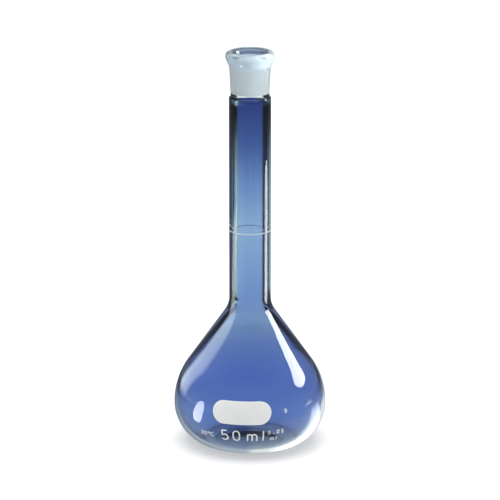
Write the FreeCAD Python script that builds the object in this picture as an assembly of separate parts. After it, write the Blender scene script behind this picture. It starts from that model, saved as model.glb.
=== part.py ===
"""A 50 ml volumetric flask: blown bulb, long neck, ground socket and rolled lip, with fired enamel marks.

Millimetres, +Z up. The origin is the middle of the base, on the surface that the flask stands on.
The marking patch faces -Y, turned a little towards -X.
"""

import FreeCAD, Part
import math
import os

from FreeCAD import Vector

# Bulb
BULB_RADIUS = 25.0
BULB_WALL = 1.153
BASE_RADIUS = 13.9
BASE_FOOT_WIDTH = 3.0
BASE_DISH_DEPTH = 0.6
HEEL_RADIUS = 8.5
HEEL_SWEEP = 30.6
SHOULDER_RADIUS = 23.9
CONE_ANGLE = 35.1
INNER_CONE_ANGLE = 38.6
NECK_FILLET = 8.5
INNER_NECK_FILLET = 9.3

# Neck
NECK_RADIUS = 6.8
NECK_BORE_RADIUS = 4.2
NECK_TOP = 116.2
NECK_SHOULDER = 0.6

# Ground socket and lip
SOCKET_FOOT_RADIUS = NECK_RADIUS - NECK_SHOULDER
SOCKET_TOP = 125.3
SOCKET_TOP_RADIUS = 6.65
SOCKET_TAPER = 0.1
SOCKET_FOOT_BORE = 4.35
DRAWN_IN_LENGTH = 1.2
LIP_RADIUS = 7.95
LIP_WIDEST = 129.3
FLASK_HEIGHT = 131.0

# Enamel
ENAMEL_THICKNESS = 0.08
MARK_HEIGHT = 71.9
MARK_WIDTH = 0.4
PATCH_WIDTH = 19.1
PATCH_HEIGHT = 7.6
PATCH_MIDDLE = 16.95
PATCH_AZIMUTH = -6.4
NUMBER_HEIGHT = 3.9
NUMBER_STROKE = 0.45
NUMBER_FOOT = 7.2
SMALL_HEIGHT = 1.5
SMALL_STROKE = 0.26

# Solution
MENISCUS_DEPTH = 1.2
FILL_HEIGHT = NECK_TOP - 1.25

CAPACITY = 50000.0


def on_axis_plane(radius, height):
    """The point at that radius and height in the plane that sections are drawn in."""
    return Vector(radius, 0, height)


def line(start, end):
    return Part.LineSegment(start, end).toShape()


def arc(start, through, end):
    return Part.Arc(start, through, end).toShape()


def turned_arc(centre, radius, start, end):
    """An arc about centre, from one angle to another, in degrees. 0 points straight down and 90 outwards."""

    def at(angle):
        turn = math.radians(angle)
        return on_axis_plane(centre[0] + radius * math.sin(turn), centre[1] - radius * math.cos(turn))

    return arc(at(start), at((start + end) / 2), at(end))


def cap_rise(radius, rim_radius, depth):
    """How far a spherical cap of that rim radius and depth has turned away from its pole at a radius."""
    sphere = (rim_radius**2 + depth**2) / (2 * depth)
    return sphere - math.sqrt(sphere**2 - radius**2)


def revolved(edges):
    """The solid that a closed section in the XZ plane sweeps about Z."""
    face = Part.Face(Part.Wire(Part.__sortEdges__(edges)))
    solid = face.revolve(Vector(0, 0, 0), Vector(0, 0, 1), 360)
    return solid if solid.Volume > 0 else solid.reversed()


def vessel_outline(offset, neck_radius, neck_fillet, cone_angle=CONE_ANGLE):
    """Edges of a pear-shaped outline, offset inside the bulb's outer face, and the height of its neck's foot.

    From the base out: a flat, a tight heel arc, a belly arc up to the widest point, a larger shoulder arc,
    a straight cone, and a fillet that turns up into the neck. The inside's cone is the blunter one, so the
    wall thickens towards the neck.
    """
    heel = HEEL_RADIUS - offset
    sweep = math.radians(HEEL_SWEEP)
    belly = (BULB_RADIUS - BASE_RADIUS - HEEL_RADIUS * math.sin(sweep)) / (1 - math.sin(sweep)) - offset
    shoulder = SHOULDER_RADIUS - offset
    slope = math.radians(cone_angle)

    heel_centre = (BASE_RADIUS, HEEL_RADIUS)
    belly_centre = (
        heel_centre[0] + (heel - belly) * math.sin(sweep),
        heel_centre[1] - (heel - belly) * math.cos(sweep),
    )
    shoulder_centre = (belly_centre[0] + belly - shoulder, belly_centre[1])
    cone_foot = (
        shoulder_centre[0] + shoulder * math.cos(slope),
        shoulder_centre[1] + shoulder * math.sin(slope),
    )
    cone_top_radius = neck_radius + neck_fillet * (1 - math.cos(slope))
    cone_top_height = cone_foot[1] + (cone_foot[0] - cone_top_radius) / math.tan(slope)
    neck_start = cone_top_height + neck_fillet * math.sin(slope)
    fillet_centre = (neck_radius + neck_fillet, neck_start)

    edges = [
        turned_arc(heel_centre, heel, 0, HEEL_SWEEP),
        turned_arc(belly_centre, belly, HEEL_SWEEP, 90),
        turned_arc(shoulder_centre, shoulder, 90, 90 + cone_angle),
        line(on_axis_plane(*cone_foot), on_axis_plane(cone_top_radius, cone_top_height)),
        turned_arc(fillet_centre, neck_fillet, 270 + cone_angle, 270),
    ]
    return edges, neck_start


def inner_outline(top):
    """Edges of the wetted wall, from the middle of the base up the bore to a height, and its two ends."""
    edges, bore_start = vessel_outline(BULB_WALL, NECK_BORE_RADIUS, INNER_NECK_FILLET, INNER_CONE_ANGLE)
    floor_middle = on_axis_plane(0, BULB_WALL)
    bore_top = on_axis_plane(NECK_BORE_RADIUS, top)
    edges.append(line(floor_middle, on_axis_plane(BASE_RADIUS, BULB_WALL)))
    edges.append(line(on_axis_plane(NECK_BORE_RADIUS, bore_start), bore_top))
    return edges, floor_middle, bore_top


def bulb():
    """The blown bulb. It stands on a flat ring round a shallow dish, and ends where the neck is sealed."""
    outer, seal = vessel_outline(0, NECK_RADIUS, NECK_FILLET)
    inner, floor_middle, bore_top = inner_outline(seal)
    foot_inside = BASE_RADIUS - BASE_FOOT_WIDTH
    dish_middle = on_axis_plane(0, BASE_DISH_DEPTH)
    half_way = foot_inside / 2
    on_dish = on_axis_plane(half_way, BASE_DISH_DEPTH - cap_rise(half_way, foot_inside, BASE_DISH_DEPTH))
    foot_edge = on_axis_plane(foot_inside, 0)
    closing = [
        line(bore_top, on_axis_plane(NECK_RADIUS, seal)),
        line(floor_middle, dish_middle),
        arc(dish_middle, on_dish, foot_edge),
        line(foot_edge, on_axis_plane(BASE_RADIUS, 0)),
    ]
    return revolved(outer + inner + closing), seal


def neck(seal):
    """The straight tube from the bulb's seal up to the socket, with a rounded shoulder at its top."""
    shoulder_centre = (SOCKET_FOOT_RADIUS, NECK_TOP - NECK_SHOULDER)
    inside_foot = on_axis_plane(NECK_BORE_RADIUS, seal)
    bore_top = on_axis_plane(NECK_BORE_RADIUS, NECK_TOP - DRAWN_IN_LENGTH)
    inside_top = on_axis_plane(SOCKET_FOOT_BORE, NECK_TOP)
    return revolved(
        [
            line(inside_foot, on_axis_plane(NECK_RADIUS, seal)),
            line(on_axis_plane(NECK_RADIUS, seal), on_axis_plane(NECK_RADIUS, shoulder_centre[1])),
            turned_arc(shoulder_centre, NECK_SHOULDER, 90, 180),
            line(on_axis_plane(SOCKET_FOOT_RADIUS, NECK_TOP), inside_top),
            line(inside_top, bore_top),
            line(bore_top, inside_foot),
        ]
    )


def socket_bore(height):
    """The ground taper's radius: a tenth of its length on the diameter, from the socket's foot up."""
    return SOCKET_FOOT_BORE + (height - NECK_TOP) * SOCKET_TAPER / 2


def ground_socket():
    """The tapered socket that a stopper is ground into."""
    corners = [
        on_axis_plane(socket_bore(NECK_TOP), NECK_TOP),
        on_axis_plane(SOCKET_FOOT_RADIUS, NECK_TOP),
        on_axis_plane(SOCKET_TOP_RADIUS, SOCKET_TOP),
        on_axis_plane(socket_bore(SOCKET_TOP), SOCKET_TOP),
    ]
    return revolved([line(corners[i - 1], corners[i]) for i in range(4)])


def rolled_lip():
    """The fire-polished lip: a flare outside, a round bead, a crown and a throat that runs into the taper."""
    throat_height = LIP_WIDEST - 0.4
    throat = on_axis_plane(socket_bore(throat_height), throat_height)
    flare_foot = on_axis_plane(SOCKET_TOP_RADIUS, SOCKET_TOP)
    bead_foot = on_axis_plane(LIP_RADIUS - 0.4, LIP_WIDEST - 1.35)
    bead_side = on_axis_plane(LIP_RADIUS, LIP_WIDEST)
    bead_top = on_axis_plane(LIP_RADIUS - 0.65, FLASK_HEIGHT - 0.35)
    crown = on_axis_plane(LIP_RADIUS - 1.45, FLASK_HEIGHT)
    crown_inside = on_axis_plane(LIP_RADIUS - 2.4, FLASK_HEIGHT - 0.5)
    throat_turn = on_axis_plane(LIP_RADIUS - 2.87, FLASK_HEIGHT - 1.2)
    taper_top = on_axis_plane(socket_bore(SOCKET_TOP), SOCKET_TOP)
    return revolved(
        [
            arc(flare_foot, on_axis_plane(SOCKET_TOP_RADIUS + 0.36, SOCKET_TOP + 1.5), bead_foot),
            arc(bead_foot, bead_side, bead_top),
            arc(bead_top, crown, crown_inside),
            arc(crown_inside, throat_turn, throat),
            line(throat, taper_top),
            line(taper_top, flare_foot),
        ]
    )


def solution():
    """The coloured solution: it wets the whole inner wall and ends in a meniscus just under the socket."""
    edges, floor_middle, rim = inner_outline(FILL_HEIGHT)
    middle = on_axis_plane(0, FILL_HEIGHT - MENISCUS_DEPTH)
    half_way = NECK_BORE_RADIUS / 2
    on_cap = on_axis_plane(half_way, middle.z + cap_rise(half_way, NECK_BORE_RADIUS, MENISCUS_DEPTH))
    return revolved(edges + [arc(rim, on_cap, middle), line(middle, floor_middle)])


def volume_to_mark():
    """What the flask holds up to the middle of its mark, in cubic millimetres."""
    edges, floor_middle, rim = inner_outline(MARK_HEIGHT)
    middle = on_axis_plane(0, MARK_HEIGHT)
    return revolved(edges + [line(rim, middle), line(middle, floor_middle)]).Volume


def graduation_mark():
    """The enamel ring round the neck that shows the capacity."""
    low = MARK_HEIGHT - MARK_WIDTH / 2
    outside = NECK_RADIUS + ENAMEL_THICKNESS
    ring = Part.makeCylinder(outside, MARK_WIDTH, Vector(0, 0, low))
    return ring.cut(Part.makeCylinder(NECK_RADIUS, MARK_WIDTH, Vector(0, 0, low)))


def enamel_skin():
    """A thin skin on the bulb's outer face, from heel to shoulder, that printed marks are cut from."""
    outside, _ = vessel_outline(-ENAMEL_THICKNESS, NECK_RADIUS, NECK_FILLET)
    inside, _ = vessel_outline(0, NECK_RADIUS, NECK_FILLET)
    skin = []
    for outer_edge, inner_edge in zip(outside[:3], inside[:3]):
        ends = [(outer_edge.Vertexes[i].Point, inner_edge.Vertexes[i].Point) for i in (0, 1)]
        skin.append(revolved([outer_edge, inner_edge] + [line(*pair) for pair in ends]))
    return skin


def printed(glyph, azimuth, skin):
    """A flat glyph, drawn in XZ about x = 0, printed at that azimuth: what it cuts from the skin."""
    stamp = glyph.copy()
    stamp.translate(Vector(0, -2 * BULB_RADIUS, 0))
    stamp.rotate(Vector(0, 0, 0), Vector(0, 0, 1), azimuth)
    bands = [stamp.common(band) for band in skin]
    return [solid for band in bands for solid in band.Solids]


def merged(solids):
    """Touching solids made one each, and the rest left apart, as one shape for a node."""
    whole = solids[0].multiFuse(solids[1:]) if len(solids) > 1 else solids[0]
    return Part.makeCompound(whole.removeSplitter().Solids)


def bar(left, low, right, high):
    """An upright bar of a stroke, deep enough to pass through the bulb's front."""
    return Part.makeBox(right - left, 2 * BULB_RADIUS, high - low, Vector(left, 0, low))


def disc(x, z, radius):
    return Part.makeCylinder(radius, 2 * BULB_RADIUS, Vector(x, 0, z), Vector(0, 1, 0))


def hoop(x, z, radius, stroke):
    return disc(x, z, radius).cut(disc(x, z, radius - stroke))


def sloped_bar(start, end, stroke):
    """A slanting stroke between two points, given as (x, z)."""
    run = Vector(end[0] - start[0], 0, end[1] - start[1])
    side = Vector(-run.z, 0, run.x).normalize() * (stroke / 2)
    first = Vector(start[0], 0, start[1])
    last = Vector(end[0], 0, end[1])
    corners = [first + side, last + side, last - side, first - side, first + side]
    return Part.Face(Part.makePolygon(corners)).extrude(Vector(0, 2 * BULB_RADIUS, 0))


def zero(height, stroke):
    """A 0: two half hoops joined by straight sides."""
    half = height * 0.32
    top = height - half
    outline = disc(0, half, half).fuse([disc(0, top, half), bar(-half, half, half, top)])
    inside = half - stroke
    hollow = disc(0, half, inside).fuse([disc(0, top, inside), bar(-inside, half, inside, top)])
    return outline.cut(hollow)


def five(height, stroke):
    """A 5: a top bar, a short stem and an open bowl."""
    half = height * 0.32
    bowl = hoop(0, half, half, stroke)
    opening = bar(-half - stroke, half * 0.75, -half * 0.45, half * 1.5)
    stem = bar(-half * 0.85, half * 1.35, -half * 0.85 + stroke, height)
    shelf = bar(-half * 0.85, half * 2 - stroke, 0, half * 2)
    top = bar(-half * 0.85, height - stroke, half * 0.8, height)
    return bowl.cut(opening).fuse([stem, shelf, top])


def two(height, stroke):
    """A 2: a half hoop, a slant and a foot."""
    half = height * 0.3
    middle = height - half
    hook = hoop(0, middle, half, stroke).cut(bar(-half * 1.5, 0, half * 0.3, middle))
    slant = sloped_bar((half * 0.72, middle - half * 0.4), (-half * 0.8, stroke / 2), stroke)
    foot = bar(-half, 0, half, stroke)
    below = bar(half * 0.3, 0, half * 1.5, middle - half * 0.55)
    return hook.cut(below).fuse([slant, foot])


def nine(height, stroke):
    """A 9: a closed head and a curved tail."""
    half = height * 0.32
    head = hoop(0, height - half, half, stroke)
    tail = hoop(0, half, half, stroke).cut(bar(-half * 1.5, half * 0.8, half * 1.5, height))
    side = bar(half - stroke, half * 0.8, half, height - half)
    return head.fuse([tail.cut(bar(-half * 1.5, half * 0.55, 0, half)), side])


def letter_m(height, stroke):
    """A lower-case m: three legs under two arches."""
    reach = height * 0.38
    body = height * 0.72
    arch = (reach + stroke / 2) / 2
    legs = [bar(x - stroke / 2, 0, x + stroke / 2, body - arch) for x in (-reach, 0, reach)]
    arches = []
    for x in (-reach / 2, reach / 2):
        arches.append(hoop(x, body - arch, arch, stroke).cut(bar(-height, -height, height, body - arch)))
    spur = bar(-reach - stroke / 2, body - arch, -reach + stroke / 2, body)
    return legs[0].fuse(legs[1:] + arches + [spur])


def letter_l(height, stroke):
    return bar(-stroke / 2, 0, stroke / 2, height)


def letter_c(height, stroke):
    """An open C: a hoop with its right side taken out."""
    half = height / 2
    return hoop(0, half, half, stroke).cut(bar(half * 0.35, half * 0.45, height, half * 1.55))


def plus_minus(height, stroke):
    half = height * 0.36
    cross = bar(-half, height * 0.6 - stroke / 2, half, height * 0.6 + stroke / 2)
    upright = bar(-stroke / 2, height * 0.6 - half, stroke / 2, height * 0.6 + half)
    return cross.fuse([upright, bar(-half, 0, half, stroke)])


def stop(height, stroke):
    return disc(0, stroke * 0.7, stroke * 0.7)


def degree(height, stroke):
    return hoop(0, height * 0.8, height * 0.2, stroke * 0.7)


def inscription(glyphs, height, stroke, foot, spacing, middle, skin):
    """A row of glyphs, each printed square to the bulb. spacing is the degrees from one to the next."""
    start = middle - spacing * (len(glyphs) - 1) / 2
    solids = []
    for place, glyph in enumerate(glyphs):
        shape = glyph(height, stroke)
        shape.translate(Vector(0, 0, foot))
        solids += printed(shape, start + spacing * place, skin)
    return merged(solids)


def marking_patch(skin):
    """The matt white patch for pencil notes: a rounded rectangle."""
    half_height = PATCH_HEIGHT / 2
    reach = PATCH_WIDTH / 2 - half_height
    ends = [disc(x, PATCH_MIDDLE, half_height) for x in (-reach, reach)]
    plate = bar(-reach, PATCH_MIDDLE - half_height, reach, PATCH_MIDDLE + half_height).fuse(ends)
    return merged(printed(plate.removeSplitter(), PATCH_AZIMUTH, skin))


def build():
    """Every piece of the flask, by name."""
    bulb_glass, seal = bulb()
    skin = enamel_skin()
    large = (NUMBER_HEIGHT, NUMBER_STROKE, NUMBER_FOOT)
    small = (SMALL_HEIGHT, SMALL_STROKE)
    tolerance = inscription([plus_minus, stop, zero, five], *small, 9.6, 3.5, 19.8, skin).Solids
    tolerance += inscription([letter_m, letter_l], *small, 7.2, 3.4, 18.9, skin).Solids
    return {
        "bulb": bulb_glass,
        "neck_tube": neck(seal),
        "ground_socket": ground_socket(),
        "rolled_lip": rolled_lip(),
        "blue_solution": solution(),
        "graduation_mark": graduation_mark(),
        "marking_patch": marking_patch(skin),
        "capacity_number": inscription([five, zero], *large, 9.1, -15.0, skin),
        "capacity_unit": inscription([letter_m, letter_l], *large, 8.5, 5.9, skin),
        "tolerance_mark": Part.makeCompound(tolerance),
        "temperature_mark": inscription([two, zero, degree, letter_c], *small, 7.9, 3.1, -35.0, skin),
        "stopper_size_mark": inscription([nine], *small, 16.2, 0, 27.8, skin),
    }


os.makedirs("parts", exist_ok=True)
for name, shape in build().items():
    shape.exportStep(f"parts/{name}.step")
    print(f"{name}: {len(shape.Solids)} solids, {shape.Volume:.2f} mm3, valid {shape.isValid()}")
print(f"holds {volume_to_mark() / 1000:.3f} ml to the mark, of {CAPACITY / 1000:.0f} ml")
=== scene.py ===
import math

import bpy
import numpy as np
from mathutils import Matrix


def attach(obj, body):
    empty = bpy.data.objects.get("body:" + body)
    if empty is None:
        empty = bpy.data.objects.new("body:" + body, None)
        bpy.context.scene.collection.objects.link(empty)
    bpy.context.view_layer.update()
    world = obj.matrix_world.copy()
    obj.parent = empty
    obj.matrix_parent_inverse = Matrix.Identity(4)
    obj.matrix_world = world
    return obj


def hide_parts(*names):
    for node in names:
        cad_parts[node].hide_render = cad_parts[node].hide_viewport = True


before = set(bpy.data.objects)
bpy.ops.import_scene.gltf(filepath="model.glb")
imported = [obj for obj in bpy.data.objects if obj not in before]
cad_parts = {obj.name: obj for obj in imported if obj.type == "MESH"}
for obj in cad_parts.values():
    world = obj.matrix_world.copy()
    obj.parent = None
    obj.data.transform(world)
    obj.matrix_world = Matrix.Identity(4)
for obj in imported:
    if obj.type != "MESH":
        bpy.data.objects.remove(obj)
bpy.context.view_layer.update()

# Glass body
# A bulb blown from borosilicate tube, with a thick neck, a tapered socket and a fire-polished lip.
# The glassblower seals these into one piece of glass, so one closed skin stands for all four.
MM = 0.001
BULB_RADIUS = 25.0
BULB_WALL = 1.153
BASE_RADIUS = 13.9
FOOT_INSIDE = 10.9
DISH_DEPTH = 0.6
HEEL_RADIUS = 8.5
HEEL_SWEEP = math.radians(30.6)
BELLY_RADIUS = (BULB_RADIUS - BASE_RADIUS - HEEL_RADIUS * math.sin(HEEL_SWEEP)) / (1 - math.sin(HEEL_SWEEP))
SHOULDER_RADIUS = 23.9
CONE_ANGLE = math.radians(35.1)
INNER_CONE_ANGLE = math.radians(38.6)
NECK_RADIUS = 6.8
NECK_FILLET = 8.5
BORE_RADIUS = 4.2
BORE_FILLET = 9.3
NECK_TOP = 116.2
NECK_SHOULDER = 0.6
SOCKET_FOOT_BORE = 4.35
SOCKET_TOP = 125.3
SOCKET_TOP_RADIUS = 6.65
BORE_END = 128.9
DRAWN_IN_LENGTH = 1.2
HEEL_CENTRE = np.array([BASE_RADIUS, HEEL_RADIUS])
HEEL_END = np.array([math.sin(HEEL_SWEEP), -math.cos(HEEL_SWEEP)])
BELLY_CENTRE = HEEL_CENTRE + (HEEL_RADIUS - BELLY_RADIUS) * HEEL_END
TURNS = 224


def arc_points(centre, radius, start, end, count):
    """Points of an arc about centre. Angle 0 points straight down and a quarter turn points outwards."""
    turn = np.linspace(start, end, count)
    return np.stack([centre[0] + radius * np.sin(turn), centre[1] - radius * np.cos(turn)], axis=1)


def run_points(start, end, count):
    """Points of a straight run, ends included: start + s * (end - start)."""
    share = np.linspace(0, 1, count)[:, None]
    return np.asarray(start) * (1 - share) + np.asarray(end) * share


def cap_points(rim_radius, depth, count):
    """A spherical cap's rise from its pole, at radii from 0 to the rim: R - sqrt(R^2 - r^2)."""
    sphere = (rim_radius**2 + depth**2) / (2 * depth)
    radius = np.linspace(0, rim_radius, count)
    return radius, sphere - np.sqrt(sphere**2 - radius**2)


def vessel_profile(offset, neck_radius, neck_fillet, cone_angle):
    """The pear outline at an offset inside the outer face: three arcs, a cone and the neck's fillet."""
    shoulder = SHOULDER_RADIUS - offset
    shoulder_centre = np.array([BULB_RADIUS - SHOULDER_RADIUS, BELLY_CENTRE[1]])
    quarter = math.pi / 2
    cone_foot = arc_points(shoulder_centre, shoulder, quarter, quarter + cone_angle, 2)[1]
    cone_top_radius = neck_radius + neck_fillet * (1 - math.cos(cone_angle))
    cone_rise = (cone_foot[0] - cone_top_radius) / math.tan(cone_angle)
    cone_top = np.array([cone_top_radius, cone_foot[1] + cone_rise])
    fillet_centre = (neck_radius + neck_fillet, cone_top[1] + neck_fillet * math.sin(cone_angle))
    return np.concatenate(
        [
            arc_points(HEEL_CENTRE, HEEL_RADIUS - offset, 0, HEEL_SWEEP, 22)[:-1],
            arc_points(BELLY_CENTRE, BELLY_RADIUS - offset, HEEL_SWEEP, quarter, 28)[:-1],
            arc_points(shoulder_centre, shoulder, quarter, quarter + cone_angle, 26)[:-1],
            run_points(cone_foot, cone_top, 16)[:-1],
            arc_points(fillet_centre, neck_fillet, 3 * quarter + cone_angle, 3 * quarter, 20),
        ]
    )


def smooth_points(keys, steps):
    """A Catmull-Rom curve through key points: each span blends its ends and the slopes of its neighbours."""
    keys = np.asarray(keys, dtype=float)
    ends = np.concatenate([[2 * keys[0] - keys[1]], keys, [2 * keys[-1] - keys[-2]]])
    share = np.linspace(0, 1, steps, endpoint=False)[None, :, None]
    before, first, last, after = (ends[i : len(ends) - 3 + i][:, None, :] for i in range(4))
    curve = 0.5 * (
        2 * first
        + (last - before) * share
        + (2 * before - 5 * first + 4 * last - after) * share**2
        + (3 * first - before - 3 * last + after) * share**3
    )
    return np.concatenate([curve.reshape(-1, 2), keys[-1:]])


def socket_bore(height):
    """The ground taper: a tenth of the length on the diameter."""
    return SOCKET_FOOT_BORE + (height - NECK_TOP) / 20


def skin(name, grid, poles=None):
    """A mesh from a grid of points in millimetres, row by row round a closed turn.

    With poles, the first and last column close on those two points.
    Without, the columns close on each other, as on a hoop.
    """
    turns, count = grid.shape[:2]
    points = grid.reshape(-1, 3)
    here = np.arange(turns)[:, None] * count
    there = np.roll(here, -1, axis=0)
    low = np.arange(count - 1 if poles is not None else count)[None, :]
    high = (low + 1) % count
    faces = np.stack([here + low, there + low, there + high, here + high], axis=2).reshape(-1, 4).tolist()
    if poles is not None:
        first, last = len(points), len(points) + 1
        points = np.concatenate([points, poles])
        faces += np.stack([there[:, 0], here[:, 0], np.full(turns, first)], axis=1).tolist()
        end = count - 1
        faces += np.stack([here[:, 0] + end, there[:, 0] + end, np.full(turns, last)], axis=1).tolist()
    mesh = bpy.data.meshes.new(name)
    mesh.from_pydata((points * MM).tolist(), [], faces)
    mesh.polygons.foreach_set("use_smooth", np.ones(len(faces), dtype=bool))
    piece = bpy.data.objects.new(name, mesh)
    bpy.context.collection.objects.link(piece)
    return piece


def lathe(name, profile, looped):
    """A profile of (radius, height) turned about Z: (r, z) at turn t stands at (r cos t, r sin t, z).

    A profile that isn't looped starts and ends on the axis.
    """
    turn = np.linspace(0, 2 * math.pi, TURNS, endpoint=False)
    ring = profile if looped else profile[1:-1]
    height = np.broadcast_to(ring[:, 1], (TURNS, len(ring)))
    grid = np.stack([np.outer(np.cos(turn), ring[:, 0]), np.outer(np.sin(turn), ring[:, 0]), height], axis=2)
    poles = None if looped else np.array([[0, 0, profile[0, 1]], [0, 0, profile[-1, 1]]])
    return skin(name, grid, poles)


dish_radius, dish_fall = cap_points(FOOT_INSIDE, DISH_DEPTH, 14)
outer = vessel_profile(0, NECK_RADIUS, NECK_FILLET, CONE_ANGLE)
inner = vessel_profile(BULB_WALL, BORE_RADIUS, BORE_FILLET, INNER_CONE_ANGLE)
shoulder_centre = (NECK_RADIUS - NECK_SHOULDER, NECK_TOP - NECK_SHOULDER)
lip = smooth_points(
    [
        (SOCKET_TOP_RADIUS, SOCKET_TOP),
        (7.0, 126.8),
        (7.55, 127.95),
        (7.95, 129.3),
        (7.62, 130.45),
        (6.75, 131.0),
        (5.85, 130.65),
        (5.3, 129.85),
        (socket_bore(BORE_END), BORE_END),
    ],
    8,
)
glass_profile = np.concatenate(
    [
        np.stack([dish_radius, DISH_DEPTH - dish_fall], axis=1)[:-1],
        run_points((FOOT_INSIDE, 0), (BASE_RADIUS, 0), 6)[:-1],
        outer[:-1],
        run_points(outer[-1], (NECK_RADIUS, shoulder_centre[1]), 40)[:-1],
        arc_points(shoulder_centre, NECK_SHOULDER, math.pi / 2, math.pi, 8)[:-1],
        run_points((NECK_RADIUS - NECK_SHOULDER, NECK_TOP), (SOCKET_TOP_RADIUS, SOCKET_TOP), 12)[:-1],
        lip,
        run_points(lip[-1], (SOCKET_FOOT_BORE, NECK_TOP), 14)[1:],
        run_points((SOCKET_FOOT_BORE, NECK_TOP), (BORE_RADIUS, NECK_TOP - DRAWN_IN_LENGTH), 5)[1:],
        run_points((BORE_RADIUS, NECK_TOP - DRAWN_IN_LENGTH), inner[-1], 40)[1:],
        inner[::-1][1:],
        run_points((BASE_RADIUS, BULB_WALL), (0, BULB_WALL), 14)[1:],
    ]
)
glass = lathe("flask_glass", glass_profile, False)


def linear(hex_colour):
    """An sRGB hex colour as linear RGBA."""
    value = np.array([int(hex_colour[i : i + 2], 16) for i in (1, 3, 5)]) / 255
    value = np.where(value <= 0.04045, value / 12.92, ((value + 0.055) / 1.055) ** 2.4)
    return (*value.tolist(), 1.0)


def add_node(material, kind, settings=None, sockets=None, links=None):
    """Adds a node: settings are its properties, sockets its constant inputs, links its linked inputs."""
    node = material.node_tree.nodes.new(kind)
    for key, value in (settings or {}).items():
        setattr(node, key, value)
    for key, value in (sockets or {}).items():
        node.inputs[key].default_value = value
    for key, output in (links or {}).items():
        material.node_tree.links.new(output, node.inputs[key])
    return node


def new_material(name):
    """An empty node material and its output node."""
    material = bpy.data.materials.new(name)
    material.use_nodes = True
    material.node_tree.nodes.clear()
    return material, add_node(material, "ShaderNodeOutputMaterial")


# Borosilicate glass, drawn and blown: a faint ripple about 9 mm long in a clear, polished skin.
GLASS_INDEX = 1.473
RIPPLE_LENGTH = 9 * MM
boro, boro_out = new_material("borosilicate_glass")
boro_place = add_node(boro, "ShaderNodeTexCoord")
boro_ripple = add_node(
    boro,
    "ShaderNodeTexNoise",
    sockets={"Scale": 1 / RIPPLE_LENGTH, "Detail": 1.0, "Roughness": 0.4},
    links={"Vector": boro_place.outputs["Object"]},
)
boro_bump = add_node(
    boro,
    "ShaderNodeBump",
    sockets={"Strength": 0.06, "Distance": 0.4 * MM},
    links={"Height": boro_ripple.outputs["Fac"]},
)
boro_shader = add_node(
    boro,
    "ShaderNodeBsdfPrincipled",
    sockets={
        "Base Color": linear("#F4FAF7"),
        "Roughness": 0.0,
        "IOR": GLASS_INDEX,
        "Transmission Weight": 1.0,
    },
    links={"Normal": boro_bump.outputs["Normal"]},
)
boro.node_tree.links.new(boro_shader.outputs["BSDF"], boro_out.inputs["Surface"])

# Ground glass: the socket's bore is lapped with grit, which leaves it matt and white.
# The grit's marks are drawn coarser than they are, so that they show.
GRIT_SIZE = 0.35 * MM
ground, ground_out = new_material("ground_glass")
ground_place = add_node(ground, "ShaderNodeTexCoord")
ground_grit = add_node(
    ground,
    "ShaderNodeTexNoise",
    sockets={"Scale": 1 / GRIT_SIZE, "Detail": 2.0},
    links={"Vector": ground_place.outputs["Object"]},
)
ground_bump = add_node(
    ground,
    "ShaderNodeBump",
    sockets={"Strength": 0.35, "Distance": 0.05 * MM},
    links={"Height": ground_grit.outputs["Fac"]},
)
ground_shader = add_node(
    ground,
    "ShaderNodeBsdfPrincipled",
    sockets={
        "Base Color": linear("#E2EBF2"),
        "Roughness": 0.5,
        "IOR": GLASS_INDEX,
        "Transmission Weight": 0.25,
    },
    links={"Normal": ground_bump.outputs["Normal"]},
)
ground.node_tree.links.new(ground_shader.outputs["BSDF"], ground_out.inputs["Surface"])

# Fire-polished glass: the flame rounds the lip and leaves it soft and a little milky.
polished, polished_out = new_material("fire_polished_glass")
polished_shader = add_node(
    polished,
    "ShaderNodeBsdfPrincipled",
    sockets={
        "Base Color": linear("#CBDAE4"),
        "Roughness": 0.06,
        "IOR": GLASS_INDEX,
        "Transmission Weight": 0.72,
    },
)
polished.node_tree.links.new(polished_shader.outputs["BSDF"], polished_out.inputs["Surface"])

# The bore of the socket is ground, and the outside of the lip is polished.
GROUND_WITHIN = 5.6
GROUND_FOOT = NECK_TOP + 0.8
GROUND_TOP = 128.5
LIP_FOOT = SOCKET_TOP + 1.0
LIP_OUTSIDE = 6.3
glass.data.materials.append(boro)
glass.data.materials.append(ground)
glass.data.materials.append(polished)
face_middle = np.empty(len(glass.data.polygons) * 3)
glass.data.polygons.foreach_get("center", face_middle)
face_middle = face_middle.reshape(-1, 3) / MM
face_radius = np.hypot(face_middle[:, 0], face_middle[:, 1])
face_height = face_middle[:, 2]
in_socket = (face_radius < GROUND_WITHIN) & (face_height > GROUND_FOOT) & (face_height < GROUND_TOP)
in_lip = (face_height > LIP_FOOT) & (face_radius > LIP_OUTSIDE)
glass.data.polygons.foreach_set("material_index", in_socket + 2 * in_lip.astype(np.int32))
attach(glass, "root")
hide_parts("bulb", "neck_tube", "ground_socket", "rolled_lip")

# Blue solution
# A clear blue aqueous solution that fills the bulb and the neck to just under the socket.
# It wets the wall, and its top is a meniscus.
WET_GAP = 0.03
FILL_BELOW_SOCKET = 1.25
FILL_HEIGHT = NECK_TOP - FILL_BELOW_SOCKET
MENISCUS_DEPTH = 1.2
wetted = vessel_profile(BULB_WALL + WET_GAP, BORE_RADIUS - WET_GAP, BORE_FILLET, INNER_CONE_ANGLE)
top_radius, top_rise = cap_points(BORE_RADIUS - WET_GAP, MENISCUS_DEPTH, 16)
meniscus = np.stack([top_radius, FILL_HEIGHT - MENISCUS_DEPTH + top_rise], axis=1)[::-1]
solution_profile = np.concatenate(
    [
        run_points((0, BULB_WALL + WET_GAP), wetted[0], 14)[:-1],
        wetted[:-1],
        run_points(wetted[-1], meniscus[0], 40)[:-1],
        meniscus,
    ]
)
solution = lathe("blue_solution_fill", solution_profile, False)

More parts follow.
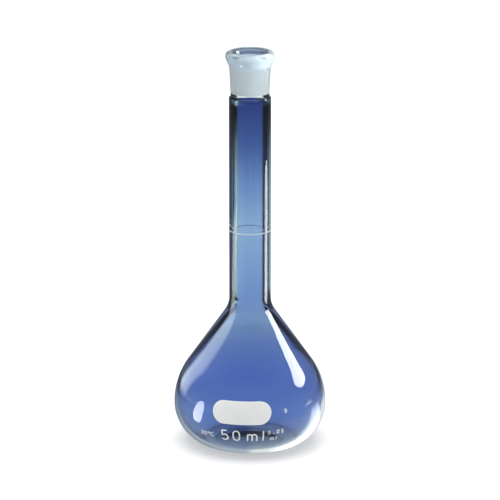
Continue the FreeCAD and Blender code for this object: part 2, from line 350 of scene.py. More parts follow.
# A blue dye in water, clear. Part of the colour is a tint by height with painted shade and light in it:
# paler at the foot, at the shoulder and half way up the neck, and darker up the neck towards the socket.
# Part is absorption along the light's way through the liquid.
# Its index is below water's, so that the wall's dark lines keep to the outer part of the neck.
SOLUTION_INDEX = 1.05
TINT_FOOT, TINT_TOP = "#D6DEF0", "#374489"
TINT_AND_SHADE_STOPS = (
    (6, "#BCC8EA"),
    (12, "#909CDC"),
    (28, "#909CD8"),
    (34, "#92A4C8"),
    (38, "#A8B8D6"),
    (49, "#88A2DB"),
    (73, "#A8C2E8"),
    (88, "#7D99D1"),
    (100, "#5069AC"),
)
blue, blue_out = new_material("blue_aqueous_solution")
blue_place = add_node(blue, "ShaderNodeTexCoord")
blue_height = add_node(blue, "ShaderNodeSeparateXYZ", links={"Vector": blue_place.outputs["Object"]})
blue_share = add_node(
    blue,
    "ShaderNodeMapRange",
    sockets={"From Min": 0.0, "From Max": FILL_HEIGHT * MM},
    links={"Value": blue_height.outputs["Z"]},
)
blue_ramp = add_node(blue, "ShaderNodeValToRGB", links={"Fac": blue_share.outputs["Result"]})
blue_ramp.color_ramp.elements[0].color = linear(TINT_FOOT)
blue_ramp.color_ramp.elements[1].color = linear(TINT_TOP)
for height, colour in TINT_AND_SHADE_STOPS:
    blue_ramp.color_ramp.elements.new(height / FILL_HEIGHT).color = linear(colour)
blue_shader = add_node(
    blue,
    "ShaderNodeBsdfPrincipled",
    sockets={"Roughness": 0.0, "IOR": SOLUTION_INDEX, "Transmission Weight": 1.0},
    links={"Base Color": blue_ramp.outputs["Color"]},
)
blue_depth = add_node(
    blue,
    "ShaderNodeVolumeAbsorption",
    sockets={"Color": linear("#8DBAE9"), "Density": 40.0},
)
blue.node_tree.links.new(blue_shader.outputs["BSDF"], blue_out.inputs["Surface"])
blue.node_tree.links.new(blue_depth.outputs["Volume"], blue_out.inputs["Volume"])
solution.data.materials.append(blue)
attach(solution, "root")
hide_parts("blue_solution")

# Enamel ring
# The capacity ring: a thin line of white enamel, painted round the neck and fired in.
# It stands a little proud of the glass, with a rounded back.
MARK_HEIGHT = 71.9
MARK_WIDTH = 0.4
ENAMEL_HEIGHT = 0.08
RING_SEAT, RING_SWELL = 0.4 * ENAMEL_HEIGHT, 0.6 * ENAMEL_HEIGHT
round_turn = np.linspace(0, 2 * math.pi, 16, endpoint=False)
ring_profile = np.stack(
    [
        NECK_RADIUS + RING_SEAT + RING_SWELL * np.cos(round_turn),
        MARK_HEIGHT + MARK_WIDTH / 2 * np.sin(round_turn),
    ],
    axis=1,
)
mark = lathe("capacity_ring", ring_profile, True)

# Fired white enamel: matt, a little uneven in tone, with a grain of about 0.5 mm.
ENAMEL_MOTTLE = 2.5 * MM
ENAMEL_GRAIN = 0.5 * MM
ENAMEL_SCATTER = (0.5 * MM, 0.5 * MM, 0.5 * MM)
enamel, enamel_out = new_material("fired_white_enamel")
enamel_place = add_node(enamel, "ShaderNodeTexCoord")
enamel_tone = add_node(
    enamel,
    "ShaderNodeTexNoise",
    sockets={"Scale": 1 / ENAMEL_MOTTLE, "Detail": 4.0},
    links={"Vector": enamel_place.outputs["Object"]},
)
enamel_ramp = add_node(enamel, "ShaderNodeValToRGB", links={"Fac": enamel_tone.outputs["Fac"]})
enamel_ramp.color_ramp.elements[0].color = linear("#DCDFD9")
enamel_ramp.color_ramp.elements[1].color = linear("#E8EBE5")
enamel_grain = add_node(
    enamel,
    "ShaderNodeTexNoise",
    sockets={"Scale": 1 / ENAMEL_GRAIN, "Detail": 2.0},
    links={"Vector": enamel_place.outputs["Object"]},
)
enamel_bump = add_node(
    enamel,
    "ShaderNodeBump",
    sockets={"Strength": 0.3, "Distance": 0.03 * MM},
    links={"Height": enamel_grain.outputs["Fac"]},
)
enamel_shader = add_node(
    enamel,
    "ShaderNodeBsdfPrincipled",
    sockets={
        "Roughness": 0.55,
        "IOR": 1.5,
        "Subsurface Weight": 0.6,
        "Subsurface Radius": ENAMEL_SCATTER,
        "Subsurface Scale": 1.0,
    },
    links={"Base Color": enamel_ramp.outputs["Color"], "Normal": enamel_bump.outputs["Normal"]},
)
enamel.node_tree.links.new(enamel_shader.outputs["BSDF"], enamel_out.inputs["Surface"])

# Thin white enamel: the ring is a thinner coat of it, so light comes through from behind.
thin_enamel, thin_enamel_out = new_material("thin_white_enamel")
thin_enamel_shader = add_node(
    thin_enamel,
    "ShaderNodeBsdfPrincipled",
    sockets={
        "Base Color": linear("#EEF6FF"),
        "Roughness": 0.45,
        "IOR": 1.2,
        "Transmission Weight": 0.6,
        "Subsurface Weight": 0.5,
        "Subsurface Radius": ENAMEL_SCATTER,
        "Subsurface Scale": 1.0,
    },
)
thin_enamel.node_tree.links.new(thin_enamel_shader.outputs["BSDF"], thin_enamel_out.inputs["Surface"])
mark.data.materials.append(thin_enamel)
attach(mark, "root")
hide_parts("graduation_mark")

# Marking patch
# A lozenge of matt white enamel on the bulb's front that takes pencil notes. It is screened on and fired,
# and the paste draws up into a slightly thicker, whiter rim.
PATCH_WIDTH = 19.1
PATCH_HEIGHT = 7.6
PATCH_MIDDLE = 16.95
PATCH_AZIMUTH = math.radians(-6.4)
PRINT_SINK = -0.02
RIM_PLACES = (0, 0.86, 0.9, 0.95, 0.985, 1.0)
RIM_HEIGHTS = (0.6, 0.6, 0.72, 1.0, 0.7, 0.1)
SLOPE_STEP = 0.05


def on_bulb(across, height, lift, azimuth):
    """Print on the bulb: x = across, y = -sqrt(r(z)^2 - x^2), pushed out by lift and turned to an azimuth."""
    radius = np.interp(height, outer[:, 1], outer[:, 0])
    slope = (np.interp(height + SLOPE_STEP, outer[:, 1], outer[:, 0]) - radius) / SLOPE_STEP
    lean = 1 / np.sqrt(1 + slope**2)
    depth = np.sqrt(radius**2 - across**2)
    share = 1 + lift * lean / radius
    flat_x, flat_y = across * share, -depth * share
    return np.stack(
        [
            flat_x * math.cos(azimuth) - flat_y * math.sin(azimuth),
            flat_x * math.sin(azimuth) + flat_y * math.cos(azimuth),
            height - lift * slope * lean,
        ],
        axis=-1,
    )


half_height = PATCH_HEIGHT / 2
end_reach = PATCH_WIDTH / 2 - half_height
lozenge = np.concatenate(
    [
        arc_points((end_reach, 0), half_height, 0, math.pi, 40)[:-1],
        run_points((end_reach, half_height), (-end_reach, half_height), 40)[:-1],
        arc_points((-end_reach, 0), half_height, math.pi, 2 * math.pi, 40)[:-1],
        run_points((-end_reach, -half_height), (end_reach, -half_height), 40)[:-1],
    ]
)
under = np.linspace(0, 0.98, 14)
over = np.concatenate([[1.0, 0.995, 0.98, 0.96, 0.93, 0.9, 0.86], np.linspace(0.8, 0, 14)])
rim_lift = ENAMEL_HEIGHT * np.interp(over, RIM_PLACES, RIM_HEIGHTS)
shares = np.concatenate([under[1:], over[:-1]])
lifts = np.concatenate([np.full(len(under) - 1, PRINT_SINK), rim_lift[:-1]])
patch_grid = on_bulb(
    lozenge[:, None, 0] * shares[None, :],
    PATCH_MIDDLE + lozenge[:, None, 1] * shares[None, :],
    lifts[None, :],
    PATCH_AZIMUTH,
)
pole_lifts = np.array([PRINT_SINK, rim_lift[-1]])
patch_poles = on_bulb(np.zeros(2), np.full(2, PATCH_MIDDLE), pole_lifts, PATCH_AZIMUTH)
patch = skin("pencil_patch", patch_grid, patch_poles)
patch.data.materials.append(enamel)
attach(patch, "root")
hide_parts("marking_patch")

# Printed figures
# Capacity, tolerance, temperature and stopper size, screened in the same enamel and fired.
# Each figure is a few plain strokes, a line of paste with a rounded back.
NUMBER_HEIGHT = 3.9
NUMBER_STROKE = 0.45
NUMBER_FOOT = 7.2
SMALL_HEIGHT = 1.5
SMALL_STROKE = 0.26
FIGURE_HALF = 0.32
LETTER_RISE = 0.72
PASTE_SEAT, PASTE_SWELL = 0.35, 0.6
ROUNDED_END = 0.35
THINNEST_END = 0.02


def five(height, stroke):
    """A top bar, a short stem and an open bowl, in one stroke."""
    half = height * FIGURE_HALF - stroke / 2
    bowl = arc_points((0, half + stroke / 2), half, math.radians(232), math.radians(-62), 28)
    top = height - stroke / 2
    corner = (-half * 0.85, top)
    bar = run_points((half * 0.95, top), corner, 8)
    stem = run_points(corner, bowl[0], 8)
    return [np.concatenate([bar[:-1], stem[:-1], bowl])]


def zero(height, stroke):
    """Two half hoops joined by straight sides, from the middle of one side round to the same place."""
    half = height * FIGURE_HALF - stroke / 2
    low = half + stroke / 2
    high = height - low
    quarter = math.pi / 2
    start = (half, (low + high) / 2)
    loop = [
        run_points(start, (half, high), 5)[:-1],
        arc_points((0, high), half, quarter, 3 * quarter, 20)[:-1],
        run_points((-half, high), (-half, low), 9)[:-1],
        arc_points((0, low), half, -quarter, quarter, 20)[:-1],
        run_points((half, low), start, 5),
    ]
    return [np.concatenate(loop)]


def two(height, stroke):
    """A hook over the top, a slant and a foot."""
    half = height * 0.3 - stroke / 2
    hook = arc_points((0, height - half - stroke / 2), half, math.radians(265), math.radians(62), 20)
    foot = (-half, stroke / 2)
    slant = run_points(hook[-1], foot, 10)
    base = run_points(foot, (half, stroke / 2), 6)
    return [np.concatenate([hook, slant[1:], base[1:]])]


def nine(height, stroke):
    """A closed head and a curved tail."""
    half = height * FIGURE_HALF - stroke / 2
    low = half + stroke / 2
    head = arc_points((0, height - low), half, math.pi / 2, math.pi * 2.5, 32)
    tail = arc_points((0, low), half, math.pi / 2, math.radians(-55), 18)
    return [np.concatenate([head, tail])]


def letter_m(height, stroke):
    """A leg with two arches that each come down to a leg."""
    reach = height * 0.38
    crown = height * LETTER_RISE - stroke / 2 - reach / 2
    strokes = [run_points((-reach, 0), (-reach, height * LETTER_RISE), 10)]
    for left in (-reach, 0.0):
        arch = arc_points((left + reach / 2, crown), reach / 2, 1.5 * math.pi, math.pi / 2, 16)
        strokes.append(np.concatenate([arch, run_points((left + reach, crown), (left + reach, 0), 8)[1:]]))
    return strokes


def letter_l(height, stroke):
    """One upright stroke."""
    return [run_points((0, 0), (0, height), 12)]


def letter_c(height, stroke):
    """A hoop that is open on the right."""
    half = (height - stroke) / 2
    return [arc_points((0, height / 2), half, math.radians(128), math.radians(412), 30)]


def plus_minus(height, stroke):
    """A cross over a bar."""
    half = height * 0.36
    middle = height * 0.6
    return [
        run_points((-half, middle), (half, middle), 6),
        run_points((0, middle - half), (0, middle + half), 6),
        run_points((-half, stroke / 2), (half, stroke / 2), 6),
    ]


def stop(height, stroke):
    """A dot."""
    return [run_points((-stroke * 0.6, stroke * 0.7), (stroke * 0.6, stroke * 0.7), 4)]


def degree(height, stroke):
    """A small hoop at the top."""
    return [arc_points((0, height * 0.8), height * 0.17, 0, 2 * math.pi, 16)]


def paste_line(path, width, foot, azimuth):
    """A stroke of paste: a flat oval carried along a path, rounded off at its ends and laid on the bulb.

    The oval's half width shrinks over the last half stroke as sqrt(1 - s^2).
    """
    step = np.gradient(path, axis=0)
    step /= np.linalg.norm(step, axis=1, keepdims=True)
    gone = np.concatenate([[0], np.cumsum(np.linalg.norm(np.diff(path, axis=0), axis=1))])
    to_end = np.minimum(gone, gone[-1] - gone) / (width * ROUNDED_END)
    swell = np.sqrt(np.clip(1 - (1 - np.clip(to_end, 0, 1)) ** 2, THINNEST_END, 1))
    turn = np.linspace(0, 2 * math.pi, 10, endpoint=False)
    aside = np.outer(np.cos(turn), swell) * width / 2
    lift = ENAMEL_HEIGHT * (PASTE_SEAT + PASTE_SWELL * np.outer(np.sin(turn), swell))
    across = path[None, :, 0] + aside * step[None, :, 1]
    height = foot + path[None, :, 1] - aside * step[None, :, 0]
    tube = on_bulb(across, height, lift, azimuth)
    tips = path[[0, -1]]
    ends = on_bulb(tips[:, 0], foot + tips[:, 1], np.full(2, ENAMEL_HEIGHT * PASTE_SEAT), azimuth)
    return tube, ends


def inscription(name, node, rows):
    """Rows of figures on the bulb, joined into one piece.

    A row is (figures, height, stroke, foot, spacing, middle), the last two in degrees round the bulb.
    """
    strokes = []
    for figures, height, stroke, foot, spacing, middle in rows:
        start = middle - spacing * (len(figures) - 1) / 2
        for place, figure in enumerate(figures):
            azimuth = math.radians(start + spacing * place)
            for path in figure(height, stroke):
                strokes.append(skin(name, *paste_line(path, stroke, foot, azimuth)))
    with bpy.context.temp_override(active_object=strokes[0], selected_editable_objects=strokes):
        bpy.ops.object.join()
    piece = strokes[0]
    piece.name = name
    piece.data.materials.append(enamel)
    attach(piece, "root")
    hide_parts(node)


large = (NUMBER_HEIGHT, NUMBER_STROKE, NUMBER_FOOT)
small = (SMALL_HEIGHT, SMALL_STROKE)
inscription("printed_capacity", "capacity_number", [([five, zero], *large, 9.1, -15.0)])
inscription("printed_unit", "capacity_unit", [([letter_m, letter_l], *large, 8.5, 5.9)])
inscription(
    "printed_tolerance",
    "tolerance_mark",
    [
        ([plus_minus, stop, zero, five], *small, 9.6, 3.5, 19.8),
        ([letter_m, letter_l], *small, 7.2, 3.4, 18.9),
    ],
)
inscription(
    "printed_temperature",
    "temperature_mark",
    [([two, zero, degree, letter_c], *small, 7.9, 3.1, -35.0)],
)
inscription("printed_stopper_size", "stopper_size_mark", [([nine], *small, 16.2, 0.0, 27.8)])

# Floor
# A pale studio table of painted board, on which the flask stands loose.
# It shows plain white to the camera and through the glass, with the flask's soft shadow on it.
FLOOR_SIZE = 12.0
PLAIN_GLOW = 0.42
GLOW_THROUGH_GLASS = 0.43
bpy.ops.mesh.primitive_plane_add(size=FLOOR_SIZE)
floor = bpy.context.object
floor.name = "studio_floor"
white, white_out = new_material("white_table")
white_path = add_node(white, "ShaderNodeLightPath")
white_place = add_node(white, "ShaderNodeTexCoord")
white_reach = add_node(
    white,
    "ShaderNodeVectorMath",
    settings={"operation": "LENGTH"},
    links={0: white_place.outputs["Object"]},
)
white_heading = add_node(
    white,
    "ShaderNodeVectorMath",
    settings={"operation": "NORMALIZE"},
    links={0: white_place.outputs["Object"]},
)
white_bearing = add_node(white, "ShaderNodeSeparateXYZ", links={"Vector": white_heading.outputs["Vector"]})
white_matt = add_node(white, "ShaderNodeBsdfDiffuse", sockets={"Color": linear("#EDEDED")})
white_glow = add_node(white, "ShaderNodeEmission", sockets={"Color": (1, 1, 1, 1)})
white_plain = add_node(
    white,
    "ShaderNodeMath",
    settings={"operation": "MULTIPLY_ADD"},
    sockets={1: GLOW_THROUGH_GLASS, 2: PLAIN_GLOW},
    links={0: white_path.outputs["Is Transmission Ray"]},
)
white_mix = add_node(
    white,
    "ShaderNodeMixShader",
    links={
        "Fac": white_plain.outputs["Value"],
        1: white_matt.outputs["BSDF"],
        2: white_glow.outputs["Emission"],
    },
)
# The glass mirrors the table as a painted dim tone, with a painted pool of light close by at the right,
# standing in for light the flask throws. It is a painted reflection, which the bulb's lower right shows as a
# bright crescent.
MIRROR_LEVEL = 0.22
POOL_LEVEL = 0.58
POOL_PEAK = 7.5
# The pool's two sides run out to the right, the front one flatter and the back one steeper.
# Rows are (direction across the side, outer edge, inner edge), in metres.
POOL_SIDES = (((-0.274, 1.0, 0.0), -0.023, -0.016), ((-0.515, 0.857, 0.0), -0.0082, -0.0182))
white_spot = add_node(white, "ShaderNodeSeparateXYZ", links={"Vector": white_place.outputs["Object"]})
# Rows are (measure, where the fade is nought, where it is full, its full value).
white_rows = [
    (white_spot.outputs["Y"], -0.022, -0.012, 1.0),
    (white_spot.outputs["X"], 0.004, 0.014, 1.0),
    (white_reach.outputs["Value"], 0.2, 0.08, 1.0),
    (white_reach.outputs["Value"], 0.11, 0.045, POOL_PEAK),
]
for across, outside, inside in POOL_SIDES:
    white_across = add_node(
        white,
        "ShaderNodeVectorMath",
        settings={"operation": "DOT_PRODUCT"},
        sockets={1: across},
        links={0: white_place.outputs["Object"]},
    )
    white_rows.append((white_across.outputs["Value"], outside, inside, 1.0))
white_fades = []
for measure, outside, inside, full in white_rows:
    white_fade = add_node(
        white,
        "ShaderNodeMapRange",
        settings={"interpolation_type": "SMOOTHSTEP"},
        sockets={"From Min": outside, "From Max": inside, "To Max": full},
        links={"Value": measure},
    )
    white_fades.append(white_fade.outputs["Result"])
level_or_behind, at_right, close_by, pool_middle, front_side, back_side = white_fades
white_strip = add_node(
    white,
    "ShaderNodeMath",
    settings={"operation": "MULTIPLY"},
    links={0: front_side, 1: back_side},
)
white_painted_pool = add_node(
    white,
    "ShaderNodeMath",
    settings={"operation": "MULTIPLY_ADD"},
    sockets={2: POOL_LEVEL},
    links={0: white_strip.outputs["Value"], 1: pool_middle},
)
for fade in (level_or_behind, at_right, close_by):
    white_painted_pool = add_node(
        white,
        "ShaderNodeMath",
        settings={"operation": "MULTIPLY"},
        links={0: white_painted_pool.outputs["Value"], 1: fade},
    )
white_mirrored = add_node(
    white,
    "ShaderNodeMath",
    sockets={1: MIRROR_LEVEL},
    links={0: white_painted_pool.outputs["Value"]},
)
white_mirror = add_node(
    white,
    "ShaderNodeEmission",
    sockets={"Color": linear("#DCE7F8")},
    links={"Strength": white_mirrored.outputs["Value"]},
)
white_bounced = add_node(
    white,
    "ShaderNodeMath",
    settings={"operation": "SUBTRACT", "use_clamp": True},
    links={0: white_path.outputs["Is Glossy Ray"], 1: white_path.outputs["Is Transmission Ray"]},
)
white_open = add_node(
    white,
    "ShaderNodeMixShader",
    links={
        "Fac": white_bounced.outputs["Value"],
        1: white_mix.outputs["Shader"],
        2: white_mirror.outputs["Emission"],
    },
)
# To rays that the glass wall throws back inside itself, the table shows painted tones of a dim room round it,
# a painted reflection that makes the wall's edges read dark. Close by, it is painted light at the right.
# Rows are (metres from the flask, colour).
LEFT_CLOSE = ((0.0, "#C8D0DC"), (0.045, "#8C9FBE"), (0.07, "#6F84A6"), (0.1, "#303A50"), (0.125, "#10131C"))
RIGHT_CLOSE = ((0.0, "#FFFFFF"), (0.055, "#F4F8FC"), (0.07, "#6F86B4"), (0.1, "#2C3850"), (0.125, "#10131C"))
# Farther off it is painted teal at the left and dark at the right, with a painted blue band straight behind
# that shows across the open mouth. Rows are (sine of the bearing, colour).
BEHIND = (
    (-0.95, "#A8C8D4"),
    (-0.6, "#5C7890"),
    (-0.3, "#1C1E36"),
    (-0.12, "#1C1E36"),
    (-0.05, "#A0ABC6"),
    (0.05, "#A0ABC6"),
    (0.12, "#16183C"),
    (0.45, "#16183C"),
    (0.72, "#303E60"),
    (1.0, "#303E60"),
)
white_thrown = add_node(
    white,
    "ShaderNodeMath",
    settings={"operation": "MINIMUM", "use_clamp": True},
    links={0: white_path.outputs["Glossy Depth"], 1: white_path.outputs["Transmission Depth"]},
)
# A ray that crosses one wall alone, at the outline or across the open mouth, sees those painted tones too.
# It has come through one face or two.
ONE_WALL, ONE_WALL_SPAN = 1.5, 0.6
white_single = add_node(
    white,
    "ShaderNodeMath",
    settings={"operation": "COMPARE"},
    sockets={1: ONE_WALL, 2: ONE_WALL_SPAN},
    links={0: white_path.outputs["Transmission Depth"]},
)
white_either = add_node(
    white,
    "ShaderNodeMath",
    settings={"operation": "MAXIMUM"},
    links={0: white_thrown.outputs["Value"], 1: white_single.outputs["Value"]},
)
white_inside = add_node(
    white,
    "ShaderNodeMath",
    settings={"operation": "SUBTRACT", "use_clamp": True},
    links={0: white_either.outputs["Value"], 1: white_path.outputs["Diffuse Depth"]},
)
# Painted tones: a pale one for the far room, and a blue one that rays across the open mouth see.
FAR_OFF = "#C4D2D6"
ACROSS_MOUTH = "#6C82B8"
MIX_FROM, MIX_TO, MIX_RESULT = 6, 7, 2
white_tones = []
for rows, measure in (
    (LEFT_CLOSE, white_reach.outputs["Value"]),
    (RIGHT_CLOSE, white_reach.outputs["Value"]),
    (BEHIND, white_bearing.outputs["X"]),
):
    first, last = rows[0][0], rows[-1][0]
    white_share = add_node(
        white,
        "ShaderNodeMapRange",
        sockets={"From Min": first, "From Max": last},
        links={"Value": measure},
    )
    white_ramp = add_node(white, "ShaderNodeValToRGB", links={"Fac": white_share.outputs["Result"]})
    stops = white_ramp.color_ramp.elements
    stops[0].color = linear(rows[0][1])
    stops[1].color = linear(rows[-1][1])
    for place, colour in rows[1:-1]:
        stops.new((place - first) / (last - first)).color = linear(colour)
    white_tones.append(white_ramp.outputs["Color"])
left_close, right_close, behind = white_tones
white_tone = left_close
# Rows are (tone, measure, where it starts, where it has taken over).
for tone, measure, low, high in (
    (right_close, white_bearing.outputs["X"], -0.12, 0.12),
    (behind, white_reach.outputs["Value"], 0.15, 0.175),
    (left_close, white_reach.outputs["Value"], 0.3, 0.48),
    (None, white_reach.outputs["Value"], 0.6, 0.66),
    (left_close, white_reach.outputs["Value"], 1.0, 1.5),
):
    white_step = add_node(
        white,
        "ShaderNodeMapRange",
        settings={"interpolation_type": "SMOOTHSTEP"},
        sockets={"From Min": low, "From Max": high},
        links={"Value": measure},
    )
    white_blend = add_node(
        white,
        "ShaderNodeMix",
        settings={"data_type": "RGBA"},
        sockets={MIX_TO: linear(FAR_OFF)},
        links={"Factor": white_step.outputs["Result"], MIX_FROM: white_tone},
    )
    if tone is not None:
        white.node_tree.links.new(tone, white_blend.inputs[MIX_TO])
    white_tone = white_blend.outputs[MIX_RESULT]
white_far = add_node(
    white,
    "ShaderNodeMapRange",
    sockets={"From Min": 0.53, "From Max": 0.56},
    links={"Value": white_reach.outputs["Value"]},
)
white_mouth = add_node(
    white,
    "ShaderNodeMath",
    settings={"operation": "MULTIPLY"},
    links={0: white_far.outputs["Result"], 1: white_single.outputs["Value"]},
)
white_seen = add_node(
    white,
    "ShaderNodeMix",
    settings={"data_type": "RGBA"},
    sockets={MIX_TO: linear(ACROSS_MOUTH)},
    links={"Factor": white_mouth.outputs["Value"], MIX_FROM: white_tone},
)
white_painted_room = add_node(white, "ShaderNodeEmission", links={"Color": white_seen.outputs[MIX_RESULT]})
white_all = add_node(
    white,
    "ShaderNodeMixShader",
    links={
        "Fac": white_inside.outputs["Value"],
        1: white_open.outputs["Shader"],
        2: white_painted_room.outputs["Emission"],
    },
)
white.node_tree.links.new(white_all.outputs["Shader"], white_out.inputs["Surface"])
floor.data.materials.append(white)

# Studio light
# A wide softbox overhead lights the matt pieces, and an oval window at the right makes the long highlight.
# Small cards light the ground socket, and make the neck's white line and the spot at the bulb's left.
# Each lamp is hidden from the rays that it isn't meant for.
CARD_SPREAD, LINE_SPREAD = math.radians(40), math.radians(30)


def softbox(name, place, target, size, power):
    """An area lamp of that size in metres, turned to face the target."""
    lamp = bpy.data.lights.new(name, "AREA")
    lamp.shape = "RECTANGLE"
    lamp.size, lamp.size_y = size
    lamp.energy = power
    holder = bpy.data.objects.new(name, lamp)
    bpy.context.collection.objects.link(holder)
    holder.location = place
    holder.visible_camera = False
    away = np.asarray(place, dtype=float) - np.asarray(target, dtype=float)
    holder.rotation_euler = (
        math.atan2(math.hypot(away[0], away[1]), away[2]),
        0,
        math.atan2(away[0], -away[1]),
    )
    return holder


overhead = softbox("overhead_softbox", (0.0, 0.05, 0.9), (0, 0, 0.05), (0.9, 0.9), 10.5)
overhead.visible_glossy = False
overhead.visible_transmission = False
window = softbox("right_window", (1.08, 0.18, 0.52), (0, 0, 0.03), (0.62, 0.41), 10.2)
window.data.shape = "ELLIPSE"
window.visible_diffuse = False
window.visible_transmission = False
socket_card = softbox("socket_card", (0.14, -0.02, 0.15), (0, 0, 0.123), (0.03, 0.03), 0.036)
socket_card.data.spread = CARD_SPREAD
socket_card.visible_glossy = False
# Two cards in one place, the narrower one brighter, give the neck's line its soft edges.
for name, size, watts in (("neck_line_card", (0.12, 0.076), 0.007), ("neck_line_core", (0.085, 0.064), 0.01)):
    line_card = softbox(name, (0.1625, 0.0287, 0.016), (0, 0, 0.066), size, watts)
    line_card.data.shape = "ELLIPSE"
    line_card.data.spread = LINE_SPREAD
    line_card.visible_diffuse = False
    line_card.visible_transmission = False
low_place, low_target = (-0.0575, -0.024, 0.0114), (-0.0318, -0.0131, 0.0529)
low_card = softbox("left_low_card", low_place, low_target, (0.016, 0.043), 0.02)
low_card.data.shape = "ELLIPSE"
low_card.visible_diffuse = False
low_card.visible_transmission = False

# Left card
# A tall sheet of white board in soft light, close at the left and leaning back. Only the glass mirrors it.
# It is brightest in its upper part and fades out at its edges.
CARD_AWAY, CARD_ASIDE, CARD_MIDDLE = 40.0, -15.5, 30.0
CARD_HALF_WIDTH, CARD_HALF_HEIGHT = 14.0, 35.0
CARD_LEAN = -0.2
CARD_GLOW, CARD_GLOW_RISE = 5.0, 1.4
CARD_SIDE_FADE, CARD_END_FADE = 0.6, 0.4
CARD_TURN, CARD_RISE = math.radians(-116), math.radians(20)
card_facing = np.array(
    [
        math.cos(CARD_RISE) * math.sin(CARD_TURN),
        -math.cos(CARD_RISE) * math.cos(CARD_TURN),
        math.sin(CARD_RISE),
    ]
)
card_across = np.array([-math.cos(CARD_TURN), -math.sin(CARD_TURN), 0.0])
card_up = np.cross(card_across, card_facing)
card_along, card_side = np.meshgrid(np.linspace(-1, 1, 41), np.linspace(-1, 1, 21), indexing="ij")
card_shift = CARD_ASIDE + CARD_HALF_WIDTH * card_side + CARD_LEAN * CARD_HALF_HEIGHT * card_along
card_points = (
    np.array([0.0, 0.0, CARD_MIDDLE])
    + CARD_AWAY * card_facing
    + card_shift[..., None] * card_across
    + (CARD_HALF_HEIGHT * card_along)[..., None] * card_up
)
card_index = np.arange(card_side.size).reshape(card_side.shape)
card_faces = np.stack(
    [card_index[:-1, :-1], card_index[:-1, 1:], card_index[1:, 1:], card_index[1:, :-1]], axis=-1
)
card_mesh = bpy.data.meshes.new("left_card")
card_mesh.from_pydata((card_points * MM).reshape(-1, 3).tolist(), [], card_faces.reshape(-1, 4).tolist())
card_fade = np.clip((1 - np.abs(card_side)) / CARD_SIDE_FADE, 0, 1)
card_end = np.clip((1 - np.abs(card_along)) / CARD_END_FADE, 0, 1)
card_glow = (
    (CARD_GLOW + CARD_GLOW_RISE * card_along)
    * card_fade**2 * (3 - 2 * card_fade)
    * card_end**2 * (3 - 2 * card_end)
)
card_mesh.attributes.new("glow", "FLOAT", "POINT").data.foreach_set("value", card_glow.ravel())
card = bpy.data.objects.new("left_card", card_mesh)
bpy.context.collection.objects.link(card)
card_board, card_out = new_material("lit_white_board")
card_level = add_node(card_board, "ShaderNodeAttribute", settings={"attribute_name": "glow"})
card_light = add_node(
    card_board,
    "ShaderNodeEmission",
    sockets={"Color": linear("#E9F3EE")},
    links={"Strength": card_level.outputs["Fac"]},
)
card_board.node_tree.links.new(card_light.outputs["Emission"], card_out.inputs["Surface"])
card_mesh.materials.append(card_board)
card.visible_camera = False
card.visible_diffuse = False
card.visible_transmission = False
card.visible_shadow = False

# Room
# A bright room, painted dimmer where the glass mirrors it.
# It is painted dark, navy low down and pale blue high up, where the glass wall throws it back inside itself,
# or where a ray crosses one wall alone: painted reflections that give the wall's dark edges.
ROOM_LEVEL = 0.85
ROOM_MIRRORED_LEVEL = 0.25
world = bpy.data.worlds.new("studio_room")
bpy.context.scene.world = world
world.use_nodes = True
world.node_tree.nodes.clear()
room_path = add_node(world, "ShaderNodeLightPath")
room_thrown = add_node(
    world,
    "ShaderNodeMath",
    settings={"operation": "MINIMUM", "use_clamp": True},
    links={0: room_path.outputs["Glossy Depth"], 1: room_path.outputs["Transmission Depth"]},
)
room_bright = add_node(world, "ShaderNodeBackground", sockets={"Color": (1, 1, 1, 1), "Strength": ROOM_LEVEL})
room_place = add_node(world, "ShaderNodeTexCoord")
room_mirrored = add_node(
    world,
    "ShaderNodeBackground",
    sockets={"Color": linear("#E6EEF4"), "Strength": ROOM_MIRRORED_LEVEL},
)
room_height = add_node(world, "ShaderNodeSeparateXYZ", links={"Vector": room_place.outputs["Generated"]})
room_ramp = add_node(world, "ShaderNodeValToRGB", links={"Fac": room_height.outputs["Z"]})
room_ramp.color_ramp.elements[0].position = 0.3
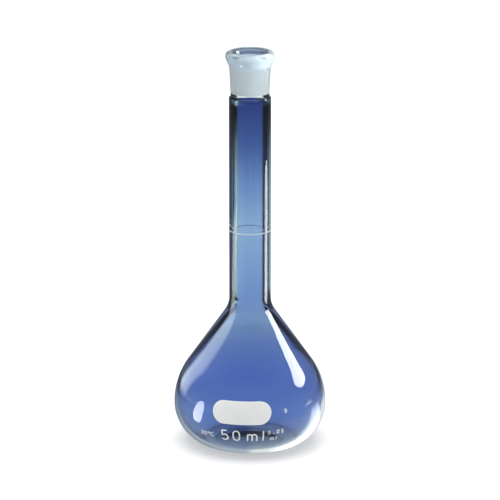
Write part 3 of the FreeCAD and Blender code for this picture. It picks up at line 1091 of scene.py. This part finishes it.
room_ramp.color_ramp.elements[0].color = linear("#0A0E22")
room_ramp.color_ramp.elements[1].position = 0.6
room_ramp.color_ramp.elements[1].color = linear("#8FA8D2")
room_painted_dark = add_node(world, "ShaderNodeBackground", links={"Color": room_ramp.outputs["Color"]})
room_bounced = add_node(
    world,
    "ShaderNodeMath",
    settings={"operation": "SUBTRACT", "use_clamp": True},
    links={0: room_path.outputs["Is Glossy Ray"], 1: room_path.outputs["Is Transmission Ray"]},
)
room_open = add_node(
    world,
    "ShaderNodeMixShader",
    links={
        "Fac": room_bounced.outputs["Value"],
        1: room_bright.outputs["Background"],
        2: room_mirrored.outputs["Background"],
    },
)
room_single = add_node(
    world,
    "ShaderNodeMath",
    settings={"operation": "COMPARE"},
    sockets={1: ONE_WALL, 2: ONE_WALL_SPAN},
    links={0: room_path.outputs["Transmission Depth"]},
)
room_either = add_node(
    world,
    "ShaderNodeMath",
    settings={"operation": "MAXIMUM"},
    links={0: room_thrown.outputs["Value"], 1: room_single.outputs["Value"]},
)
room_inside = add_node(
    world,
    "ShaderNodeMath",
    settings={"operation": "SUBTRACT", "use_clamp": True},
    links={0: room_either.outputs["Value"], 1: room_path.outputs["Diffuse Depth"]},
)
room_all = add_node(
    world,
    "ShaderNodeMixShader",
    links={
        "Fac": room_inside.outputs["Value"],
        1: room_open.outputs["Shader"],
        2: room_painted_dark.outputs["Background"],
    },
)
add_node(world, "ShaderNodeOutputWorld", links={"Surface": room_all.outputs["Shader"]})

# Camera
# A long lens, looking down at 16 degrees from in front.
camera_data = bpy.data.cameras.new("camera")
camera_data.lens = 208.8
camera_data.sensor_width = 36
camera = bpy.data.objects.new("camera", camera_data)
bpy.context.collection.objects.link(camera)
view_down = math.radians(16.0)
camera_range = 0.9457
aim = (0.0, 0.0, 0.0648)
camera.location = (aim[0], -camera_range * math.cos(view_down), aim[2] + camera_range * math.sin(view_down))
camera.rotation_euler = (math.pi / 2 - view_down, 0, 0)
bpy.context.scene.camera = camera
bpy.context.scene.view_settings.view_transform = "Standard"
